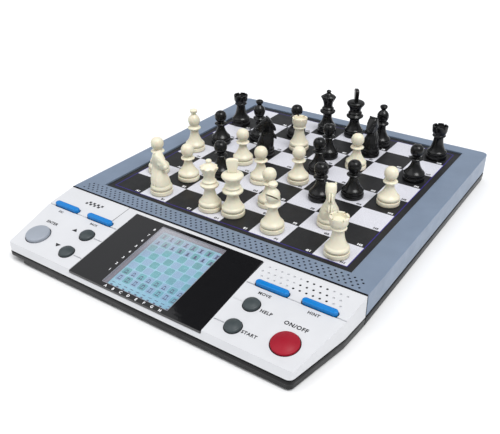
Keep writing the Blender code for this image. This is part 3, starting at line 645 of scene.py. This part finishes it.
def extruded(name, outline, low, high, matrix=UNMOVED):
    """An outline in the XY plane of the matrix, as a solid from low to high."""
    work = bmesh.new()
    face = work.faces.new([work.verts.new((x, y, low)) for x, y in outline])
    raised = bmesh.ops.extrude_face_region(work, geom=[face])["geom"]
    for vertex in raised:
        if isinstance(vertex, bmesh.types.BMVert):
            vertex.co.z = high
    bmesh.ops.recalc_face_normals(work, faces=work.faces)
    return add_mesh(name, work, matrix)


def add_band(work, loops):
    """Joins loops of points, each to the next and the last to the first."""
    rings = [[work.verts.new(point) for point in loop] for loop in loops]
    for first, second in zip(rings, rings[1:] + rings[:1]):
        for index in range(len(first)):
            after = (index + 1) % len(first)
            work.faces.new((first[index], first[after], second[after], second[index]))
    bmesh.ops.recalc_face_normals(work, faces=work.faces)


def lathe(outline, segments=64, scallops=None):
    """A mesh turned about Z from (radius, height); scallops is (count, depth, lowest, highest)."""
    work = bmesh.new()
    rings = []
    for radius, height in outline:
        if radius == 0:
            rings.append([work.verts.new((0, 0, height))])
            continue
        ring = []
        for step in range(segments):
            angle = 2 * math.pi * step / segments
            reach = radius
            if scallops and scallops[2] < height < scallops[3]:
                share = (height - scallops[2]) / (scallops[3] - scallops[2])
                depth = scallops[1] * math.sin(math.pi * share)
                reach = radius * (1 - depth * (0.5 + 0.5 * math.cos(scallops[0] * angle)))
            ring.append(work.verts.new((reach * math.cos(angle), reach * math.sin(angle), height)))
        rings.append(ring)
    for below, above in zip(rings, rings[1:]):
        for step in range(segments):
            after = (step + 1) % segments
            corners = [below[step % len(below)], below[after % len(below)]]
            corners += [above[after % len(above)], above[step % len(above)]]
            work.faces.new(list(dict.fromkeys(corners)))
    bmesh.ops.recalc_face_normals(work, faces=work.faces)
    return work


def stadium(length, width, steps=10):
    """The outline of a bar with round ends, along X and about the origin."""
    radius = width / 2
    points = []
    for centre, start in ((length / 2 - radius, -90), (radius - length / 2, 90)):
        for step in range(steps + 1):
            angle = math.radians(start + 180 * step / steps)
            points.append((centre + radius * math.cos(angle), radius * math.sin(angle)))
    return points


def lettering(words, boldness=BOLDNESS):
    """One mesh of flat words, each given as (text, height, matrix)."""
    work = bmesh.new()
    for text, height, matrix in words:
        curve = bpy.data.curves.new("word", "FONT")
        curve.body = text
        curve.size = height / 0.7  # a capital's height is 0.7 of the font's size
        curve.offset = height * boldness
        curve.space_character = 1.15
        curve.align_x = "CENTER"
        curve.align_y = "CENTER"
        curve.resolution_u = 3
        drawn = add_object("word", curve)
        bpy.context.view_layer.update()
        mesh = bpy.data.meshes.new_from_object(drawn.evaluated_get(bpy.context.evaluated_depsgraph_get()))
        mesh.transform(matrix)
        work.from_mesh(mesh)
        bpy.data.objects.remove(drawn)
        bpy.data.meshes.remove(mesh)
    return work


# ---- The body ----

def key_matrix(name):
    if name in ROUND_KEYS:
        x, forward = ROUND_KEYS[name][:2]
        return FRONT_PLANE @ Matrix.Translation((x, -forward, 0))
    return REAR_PLANE @ Matrix.Translation((BAR_KEYS[name], BAR_BACK, 0))


def make_board_frame():
    cover = bevelled(copy_of_node("board_frame"), FRAME_EDGE, 3)
    pins = []
    for row, y in enumerate(VENT_ROWS):
        for hole in range(VENT_COUNT - row % 2):
            x = VENT_FIRST_X + (hole + 0.5 * (row % 2)) * VENT_PITCH
            pins.append((Matrix.Translation((x, y, FRAME_TOP_Z)), -VENT_DEPTH, VENT_DEPTH))
    cut_away(cover, many_pins("vents", pins, VENT_RADIUS))
    flat_faces(cover)
    finish_piece(cover, "blue_grey_plastic", "machine", "blue_grey_plastic", "board_frame")
    # black sheets of painted shade just inside the vents, where the holes lie in shadow
    shade_sheets = [(matrix, -2 * VENT_DEPTH, -SHADE_SHEET_DEPTH) for matrix, _, _ in pins]
    shade_sheet = many_pins("vent_shade_sheets", shade_sheets, VENT_RADIUS + SHADE_SHEET_OVERLAP)
    finish_piece(shade_sheet, "shade_black", "machine", "speaker_black")


def make_control_panel():
    cover = bevelled(copy_of_node("control_panel"), PANEL_EDGE, 3)
    through, shallow = [], []
    for first_x, y, first, last in SPEAKER_ROWS:
        for hole in range(SPEAKER_COUNT):
            x = first_x + hole * SPEAKER_PITCH
            place = REAR_PLANE @ Matrix.Translation((x, (y - CREASE_Y) / math.cos(REAR_SLOPE), 0))
            if first <= hole <= last:
                through.append((place, -HOLE_DEPTH, HOLE_DEPTH))
            else:
                shallow.append((place, -DIMPLE_DEPTH, HOLE_DEPTH))
    cut_away(cover, many_pins("speaker_holes", through + shallow, SPEAKER_HOLE, 12))
    for name in (*ROUND_KEYS, *BAR_KEYS):
        outline = key_outline(name, RING_OUTSIDE)
        cut_away(cover, extruded("ring_seat", outline, -RING_DEPTH, HOLE_DEPTH, key_matrix(name)))
    cut_away(cover, many_boxes("grooves", panel_grooves()))
    flat_faces(cover)
    finish_piece(cover, "silver_plastic", "machine", "silver_plastic", "control_panel")
    # black sheets of painted shade just inside the speaker holes, where they lie in shadow
    shade_sheets = [(matrix, -2 * HOLE_DEPTH, -SHADE_SHEET_DEPTH) for matrix, _, _ in through]
    shade_sheet = many_pins("speaker_shade_sheets", shade_sheets, SPEAKER_HOLE + SHADE_SHEET_OVERLAP, 12)
    finish_piece(shade_sheet, "shade_black", "machine", "speaker_black")


def panel_grooves():
    """The crease's groove on each side of the display, and a short one from the display to each small key."""
    half = GROOVE_WIDTH / 2
    boxes = []
    for side in (-1, 1):
        near, far = sorted((side * GROOVE_START, side * GROOVE_END))
        boxes.append(((near, -half, -GROOVE_DEPTH), (far, half, HOLE_DEPTH), REAR_PLANE))
        near, far = sorted((side * GROOVE_START, side * SHORT_GROOVE_END))
        for name in ("up_button", "down_button"):
            forward = ROUND_KEYS[name][1]
            low = (near, -forward - half, -GROOVE_DEPTH)
            boxes.append((low, (far, -forward + half, HOLE_DEPTH), FRONT_PLANE))
    return boxes


def key_outline(name, margin):
    """The outline of a key, wider by a margin all round."""
    if name in BAR_KEYS:
        return stadium(BAR_LENGTH + 2 * margin, BAR_WIDTH + 2 * margin)
    reach = 2 * (ROUND_KEYS[name][2] + margin)
    return stadium(reach, reach, 20)


def make_key_shade_rings():
    """A black ring of painted shade in a shallow seat round every key, where the gap round the key lies in
    shadow.
    """
    work = bmesh.new()
    for name in (*ROUND_KEYS, *BAR_KEYS):
        outside = key_outline(name, RING_OUTSIDE - RING_CLEARANCE)
        inside = key_outline(name, RING_INSIDE)
        loops = []
        for outline, depth in (
            (outside, RING_TOP), (inside, RING_TOP), (inside, RING_DEPTH), (outside, RING_DEPTH),
        ):
            loops.append([key_matrix(name) @ Vector((x, y, -depth)) for x, y in outline])
        add_band(work, loops)
    finish_piece(add_mesh("key_shade_rings", work), "shade_black", "machine", "silver_plastic")


def make_seam_shade_strip():
    """A black strip of painted shade in the gap between the two top covers, along the top and down both
    sides.
    """
    half = BODY_WIDTH / 2 - SEAM_STRIP_INSET
    reach = SEAM_HALF_GAP - SEAM_STRIP_CLEARANCE
    low = (-half, SEAM_Y - reach, SEAM_STRIP_BOTTOM_Z)
    high = (half, SEAM_Y + reach, SEAM_STRIP_TOP_Z)
    strip = many_boxes("seam_shade_strip", [(low, high, UNMOVED)])
    finish_piece(strip, "shade_black", "machine", "black_plastic")


def make_base_shell():
    shell = bevelled(copy_of_node("base_shell"), BASE_EDGE)
    finish_piece(shell, "black_plastic", "machine", "black_plastic", "base_shell")


def window_box(name, low, high):
    """A box that fills the display's window from low to high, in the front plane's own axes."""
    near, far = (-WINDOW_HALF_WIDTH, WINDOW_FRONT, low), (WINDOW_HALF_WIDTH, WINDOW_BACK, high)
    return many_boxes(name, [(near, far, UNMOVED)])


def make_display():
    low = (-DISPLAY_HALF_WIDTH, DISPLAY_FRONT, -DISPLAY_THICKNESS)
    plate = many_boxes("display_plate", [(low, (DISPLAY_HALF_WIDTH, DISPLAY_BACK, 0), UNMOVED)])
    cut_away(plate, window_box("window", -0.01, 0.01))
    plate.matrix_world = FRONT_PLANE
    flat_faces(bevelled(plate, PLATE_EDGE))
    finish_piece(plate, "gloss_black", "machine", "gloss_black", "display_window")
    make_light_box()
    make_window_glint()
    lens = window_box("display_lens", LENS_BOTTOM, LENS_TOP)
    lens.matrix_world = FRONT_PLANE
    bevelled(lens, LENS_EDGE)
    finish_piece(lens, "clear_lens", "machine", "gloss_black")


def make_window_glint():
    """A thin light strip round the plate's clear window, a painted highlight where its cut edge catches the
    light.
    """
    x, near, far = WINDOW_HALF_WIDTH, WINDOW_FRONT, WINDOW_BACK
    sides = []
    for low_x, low_y, high_x, high_y in (
        (-x, near, -x + RIM_WIDTH, far), (x - RIM_WIDTH, near, x, far),
        (-x, near, x, near + RIM_WIDTH), (-x, far - RIM_WIDTH, x, far),
    ):
        sides.append(((low_x, low_y, RIM_BOTTOM), (high_x, high_y, RIM_TOP), FRONT_PLANE))
    finish_piece(many_boxes("window_glint", sides), "glint_paint", "machine", "gloss_black")


def make_light_box():
    """The four walls between the plate and the screen, leaning out a little towards the plate."""
    bottom = -LCD_DEPTH + BOX_CLEARANCE
    loops = []
    for grow, height in (
        (0, BOX_TOP), (-BOX_LEAN, bottom), (BOX_WALL - BOX_LEAN, bottom), (BOX_WALL, BOX_TOP),
    ):
        x, near, far = WINDOW_HALF_WIDTH + grow, WINDOW_FRONT - grow, WINDOW_BACK + grow
        loops.append([(-x, near, height), (x, near, height), (x, far, height), (-x, far, height)])
    work = bmesh.new()
    add_band(work, loops)
    box = add_mesh("light_box", work, FRONT_PLANE)
    bevelled(box, BOX_EDGE)
    finish_piece(box, "light_box", "machine", "gloss_black")


def make_lcd_marks():
    """Small chess symbols on the screen, filled on the far ranks and outlined on the near, and short bars."""
    parts = []
    for file in range(8):
        for rank in (0, 1, 6, 7):
            x = LCD_LEFT + (file + 0.5) * LCD_CELL
            y = LCD_FIRST_RANK + (rank + 0.5) * LCD_CELL
            parts += symbol(x, y, tall=rank in (0, 7), filled=rank > 5)
    for mark in range(MARK_COUNT):
        for distance, width, height in MARK_ROWS:
            parts.append((LCD_LEFT + (mark + 0.5) * MARK_PITCH, WINDOW_FRONT + distance, width, height))
    bottom = -LCD_DEPTH + 2 * INK_THICKNESS
    top = bottom + INK_THICKNESS
    boxes = []
    for x, y, width, height in parts:
        low = (x - width / 2, y - height / 2, bottom)
        boxes.append((low, (x + width / 2, y + height / 2, top), FRONT_PLANE))
    finish_piece(many_boxes("lcd_symbols", boxes), "lcd_ink", "machine", "display_glass")


def symbol(x, y, tall, filled):
    """The strokes of one symbol as (x, y, width, height)."""
    foot = (x, y - 0.0017, 0.0030, 0.0005)
    top = y + (0.0014 if tall else 0.0008)
    cap = (x, top, 0.0022 if tall else 0.0012, 0.0006)
    if filled:
        return [foot, (x, (foot[1] + top) / 2, 0.0015, top - foot[1]), cap]
    sides = [(x + side * 0.0008, (foot[1] + top) / 2, 0.0003, top - foot[1]) for side in (-1, 1)]
    return [foot, cap, *sides]


def make_keys():
    for name, (_, _, radius, height, dome, paint) in ROUND_KEYS.items():
        key = add_mesh(name + "_cap", lathe(round_key_outline(radius, height, dome)), key_matrix(name))
        smooth(key.data, 50)
        finish_piece(key, paint, name, paint, name)
    for name in BAR_KEYS:
        outline = stadium(BAR_LENGTH, BAR_WIDTH)
        key = extruded(name + "_cap", outline, KEY_UNDER - FLANGE_HEIGHT / 2, BAR_HEIGHT)
        bevelled(key, BAR_EDGE, 4)
        key.matrix_world = key_matrix(name)
        finish_piece(key, "blue_key", name, "blue_key", name)


def round_key_outline(radius, height, dome, steps=8):
    """From the flange up the side, round the shoulder and over the slightly domed top."""
    shoulder = height - dome
    straight = 0.45 * shoulder
    rounding = shoulder - straight
    outline = [
        (0, KEY_UNDER - FLANGE_HEIGHT), (radius + FLANGE_REACH, KEY_UNDER - FLANGE_HEIGHT),
        (radius + FLANGE_REACH, KEY_UNDER), (radius, KEY_UNDER), (radius, straight),
    ]
    for step in range(1, steps):
        angle = math.pi / 2 * step / steps
        outline.append((radius - rounding * (1 - math.cos(angle)), straight + rounding * math.sin(angle)))
    for step in range(steps):
        share = 1 - step / steps
        outline.append(((radius - rounding) * share, shoulder + dome * (1 - share * share)))
    outline.append((0, height))
    return outline


def add_printed_face(work, corners, matrix):
    """A flat printed shape, from its corners in the plane of the matrix."""
    work.faces.new([work.verts.new(matrix @ Vector((x, y, LABEL_LIFT))) for x, y in corners])


def rectangle(low, high):
    return [low, (high[0], low[1]), high, (low[0], high[1])]


def make_panel_lettering():
    """The words and arrows by the keys, a thin line and a strip of chequer."""
    words = []
    for text, x, along, height in LABELS:
        words.append((text, height, FRONT_PLANE @ Matrix.Translation((x, along, LABEL_LIFT))))
    work = lettering(words)
    for x, forward, up in ARROWS:
        base = -forward - 0.5 * ARROW_HALF_WIDTH * up
        tip = (x, -forward + 0.7 * ARROW_HALF_WIDTH * up)
        corners = [(x - ARROW_HALF_WIDTH, base), (x + ARROW_HALF_WIDTH, base), tip]
        add_printed_face(work, corners, FRONT_PLANE)
    add_printed_face(work, rectangle(LINE_LOW, LINE_HIGH), REAR_PLANE)
    for column in range(CHEQUER_COUNT):
        x = CHEQUER_X + column * CHEQUER_SQUARE
        y = CHEQUER_Y + column % 2 * CHEQUER_SQUARE
        add_printed_face(work, rectangle((x, y), (x + CHEQUER_SQUARE, y + CHEQUER_SQUARE)), REAR_PLANE)
    finish_piece(add_mesh("panel_lettering", work), "black_ink", "machine", "silver_plastic")


def make_display_lettering():
    """The letters before the screen and the numbers to its left."""
    words = []
    for index, letter in enumerate("ABCDEFGH"):
        across = LCD_LEFT + (index + 0.5) * LCD_CELL
        along = LCD_FIRST_RANK + (index + 0.5) * LCD_CELL
        for text, x, y in (
            (letter, across, WINDOW_FRONT - FILE_LETTER_GAP),
            (str(index + 1), -WINDOW_HALF_WIDTH - RANK_NUMBER_GAP, along),
        ):
            words.append((text, DISPLAY_LETTER, FRONT_PLANE @ Matrix.Translation((x, y, LABEL_LIFT))))
    marks = add_mesh("display_lettering", lettering(words))
    finish_piece(marks, "white_ink", "machine", "gloss_black")


def make_square_names():
    """A small name such as A1 in the near right corner of every square."""
    on_light, on_dark = [], []
    for file in range(8):
        for rank in range(8):
            x = (file - 4 + SQUARE_NAME_X) * SQUARE
            y = BOARD_CENTRE_Y + (rank - 4 + SQUARE_NAME_Y) * SQUARE
            text = "ABCDEFGH"[file] + str(rank + 1)
            word = (text, SQUARE_LETTER, Matrix.Translation((x, y, BOARD_Z + LABEL_LIFT)))
            (on_light if (file + rank) % 2 else on_dark).append(word)
    for name, words, paint in (
        ("names_on_light", on_light, "black_ink"), ("names_on_dark", on_dark, "white_ink"),
    ):
        names = add_mesh(name, lettering(words, SQUARE_BOLDNESS))
        finish_piece(names, paint, "machine", "overlay_sheet")


# ---- The chess pieces ----

def metres(outline):
    return [(radius * MM, height * MM) for radius, height in outline]


def between(table, height):
    """The values of a table at a height, in proportion between its rows."""
    for low, high in zip(table, table[1:]):
        if low[0] <= height <= high[0]:
            share = (height - low[0]) / (high[0] - low[0])
            return [start + (end - start) * share for start, end in zip(low[1:], high[1:])]
    return table[-1][1:]


def knight_ring(height):
    """The points of one level of the head, at a height in millimetres."""
    back, front, thick = between(KNIGHT_SECTIONS, height)
    ring = []
    for index in range(KNIGHT_SIDES):
        angle = 2 * math.pi * index / KNIGHT_SIDES
        cosine, sine = math.cos(angle), math.sin(angle)
        squarish_x = math.copysign(abs(cosine) ** 0.8, cosine)
        squarish_y = math.copysign(abs(sine) ** 0.8, sine)
        x = (back + front) / 2 + (front - back) / 2 * squarish_x
        y = thick * squarish_y
        # The muzzle narrows, the mane is folded and rippled down the back, and the mouth is a dent.
        if x > 1.0 and height > 19.8:
            y *= 1 - 0.42 * min(1.0, (x - 1.0) / 6.5)
        if height < 30 and x < 3:
            fold = math.sin((x + 0.18 * height) * 2.2)
            y *= 1 + 0.05 * fold * min(1.0, (30 - height) / 5)
        if x < -6 and height > 13:
            x += 0.2 * math.sin(height * 2.4)
        if 21.9 < height < 22.7 and x > 4.8:
            y *= 0.75
        ring.append((x * MM, y * MM, height * MM))
    return ring


def knight_head(work):
    """Adds a horse's head of stacked levels, with ears and lumps on both sides."""
    first, last = KNIGHT_SECTIONS[0][0], KNIGHT_SECTIONS[-1][0]
    count = int((last - first) / KNIGHT_STEP)
    rings = []
    for level in range(count + 1):
        ring = knight_ring(first + (last - first) * level / count)
        rings.append([work.verts.new(point) for point in ring])
    for below, above in zip(rings, rings[1:]):
        for index in range(KNIGHT_SIDES):
            after = (index + 1) % KNIGHT_SIDES
            work.faces.new((below[index], below[after], above[after], above[index]))
    work.faces.new(rings[0][::-1])
    work.faces.new(rings[-1])
    for side in (-1, 1):
        x, y, z = EAR_PLACE
        ear = Matrix.Translation((x * MM, side * y * MM, z * MM)) @ Matrix.Rotation(-side * EAR_LEAN, 4, "X")
        add_cone(work, EAR_BASE * MM, EAR_TIP * MM, EAR_LENGTH * MM, ear, 20)
        for x, y, z, wide, across, tall in KNIGHT_LUMPS:
            place = Matrix.Translation((x * MM, side * y * MM, z * MM))
            lean = Matrix.Rotation(KNIGHT_LUMP_LEAN, 4, "Y")
            shape = place @ lean @ Matrix.Diagonal((wide, across, tall, 1))
            bmesh.ops.create_uvsphere(work, u_segments=20, v_segments=12, radius=MM, matrix=shape)
    bmesh.ops.recalc_face_normals(work, faces=work.faces)


def piece_mesh(kind, colour):
    """The mesh of one kind of piece, about its own axis."""
    outline = metres(BASE_OUTLINE + OUTLINES[kind])
    body = add_mesh("turned", lathe(outline, scallops=QUEEN_SCALLOPS if kind == "queen" else None))
    if kind == "rook":
        for turn in NOTCH_TURNS:
            low = (-PIECE_REACH, -NOTCH_HALF_WIDTH, NOTCH_BOTTOM)
            high = (PIECE_REACH, NOTCH_HALF_WIDTH, 4 * PIECE_REACH)
            cut_away(body, many_boxes("notch", [(low, high, Matrix.Rotation(math.radians(turn), 4, "Z"))]))
    if kind == "bishop":
        tilt = Matrix.Translation((0, 0, SLOT_CENTRE)) @ Matrix.Rotation(SLOT_TILT, 4, "Y")
        low = (SLOT_START, -PIECE_REACH, -SLOT_HALF_WIDTH)
        cut_away(body, many_boxes("slot", [(low, (PIECE_REACH, PIECE_REACH, SLOT_HALF_WIDTH), tilt)]))
    smooth(body.data, PIECE_SMOOTHING)
    work = bmesh.new()
    work.from_mesh(body.data)
    bpy.data.objects.remove(body)
    if kind == "king":
        add_finial(work)
    if kind == "knight":
        knight_head(work)
    mesh = mesh_of(f"{colour}_{kind}", work)
    smooth(mesh, PIECE_SMOOTHING)
    mesh.materials.append(PAINTS[PIECE_PAINTS[colour]])
    return mesh


def add_finial(work):
    """The king's flat flared plate."""
    half = metres(FINIAL_OUTLINE)
    outline = half + [(-x, z) for x, z in reversed(half)]
    plate = extruded("finial", outline, -FINIAL_HALF_THICKNESS, FINIAL_HALF_THICKNESS)
    bevelled(plate, FINIAL_EDGE, 3, 40)
    plate.data.transform(Matrix.Rotation(math.radians(90), 4, "X"))
    work.from_mesh(plate.data)
    bpy.data.objects.remove(plate)


def make_pieces(colour, pieces):
    meshes = {}
    counts = {}
    for kind, file, rank, turn in pieces:
        if kind not in meshes:
            meshes[kind] = piece_mesh(kind, colour)
        counts[kind] = counts.get(kind, 0) + 1
        alone = kind in ("king", "queen")
        node = f"{colour}_{kind}" if alone else f"{colour}_{kind}_{counts[kind]}"
        x = (file - 4) * SQUARE
        y = BOARD_CENTRE_Y + (rank - 4) * SQUARE
        place = Matrix.Translation((x, y, BOARD_Z + PIECE_GAP)) @ Matrix.Rotation(math.radians(turn), 4, "Z")
        piece = add_object(node + "_moulding", meshes[kind], place)
        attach(piece, node)
        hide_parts(node)


# ---- The kept CAD nodes and the studio ----

def paint_kept_nodes():
    slots = {row["node"]: row["material_slot"] for row in frame["record"]["subparts"]}
    for name, node in NODES.items():
        if node.hide_render:
            continue
        node.data.materials.clear()
        node.data.materials.append(PAINTS[slots[name]])


def make_stage():
    work = bmesh.new()
    bmesh.ops.create_grid(work, x_segments=8, y_segments=8, size=FLOOR_HALF)
    floor = add_mesh("floor", work)
    floor.data.materials.append(
        plastic("floor", (0.90, 0.90, 0.90), 0.7, grain=0.0, mottle=0.0, Specular_IOR_Level=0.1),
    )
    make_sky()
    make_dark_card()
    for name, turn, strength, softness in SUNS:
        add_sun(name, turn, strength, softness)
    bpy.context.scene.view_settings.view_transform = "Standard"


def make_sky():
    """Light that grows from the horizon up."""
    world = bpy.data.worlds.new("studio")
    bpy.context.scene.world = world
    world.use_nodes = True
    tree = world.node_tree
    sky = tree.nodes["Background"]
    direction = add_node(tree, "ShaderNodeTexCoord").outputs["Generated"]
    height = add_node(tree, "ShaderNodeSeparateXYZ", {0: direction}).outputs[2]
    rise = math_node(tree, "MAXIMUM", height, 0.0)
    tree.links.new(mix_colours(tree, rise, SKY_LOW, SKY_HIGH), sky.inputs["Color"])
    sky.inputs["Strength"].default_value = 1.0


def make_dark_card():
    """A black card up to the left, seen only as a reflection in the right part of the gloss plate."""
    work = bmesh.new()
    bmesh.ops.create_grid(work, x_segments=1, y_segments=1, size=0.5)
    turn = CARD_DIRECTION.to_track_quat("Z", "Y").to_matrix().to_4x4()
    card = add_mesh("dark_card", work, Matrix.Translation(CARD_PLACE) @ turn)
    card.scale = (CARD_WIDTH, CARD_HEIGHT, 1)
    card.data.materials.append(plastic("dark_card", (0.004, 0.004, 0.004), 0.8, grain=0.0))
    card.visible_diffuse = False
    card.visible_shadow = False


def add_sun(name, turn, strength, softness):
    light = bpy.data.lights.new(name, "SUN")
    light.energy = strength
    light.angle = math.radians(softness)
    lamp = bpy.data.objects.new(name, light)
    lamp.rotation_euler = [math.radians(angle) for angle in turn]
    bpy.context.scene.collection.objects.link(lamp)


def make_camera():
    data = bpy.data.cameras.new("camera")
    data.lens = CAMERA_LENS
    data.sensor_width = 36
    data.clip_start = 0.01
    camera = bpy.data.objects.new("camera", data)
    back = CAMERA_RIGHT.cross(CAMERA_UP)
    turn = Matrix((CAMERA_RIGHT, CAMERA_UP, back)).transposed()
    camera.matrix_world = Matrix.Translation(CAMERA_PLACE) @ turn.to_4x4()
    bpy.context.scene.collection.objects.link(camera)
    bpy.context.scene.camera = camera


make_camera()
make_board_frame()
make_control_panel()
make_seam_shade_strip()
make_key_shade_rings()
make_base_shell()
make_display()
make_lcd_marks()
make_keys()
make_panel_lettering()
make_display_lettering()
make_square_names()
make_pieces("white", WHITE_PIECES)
make_pieces("black", BLACK_PIECES)
paint_kept_nodes()
make_stage()
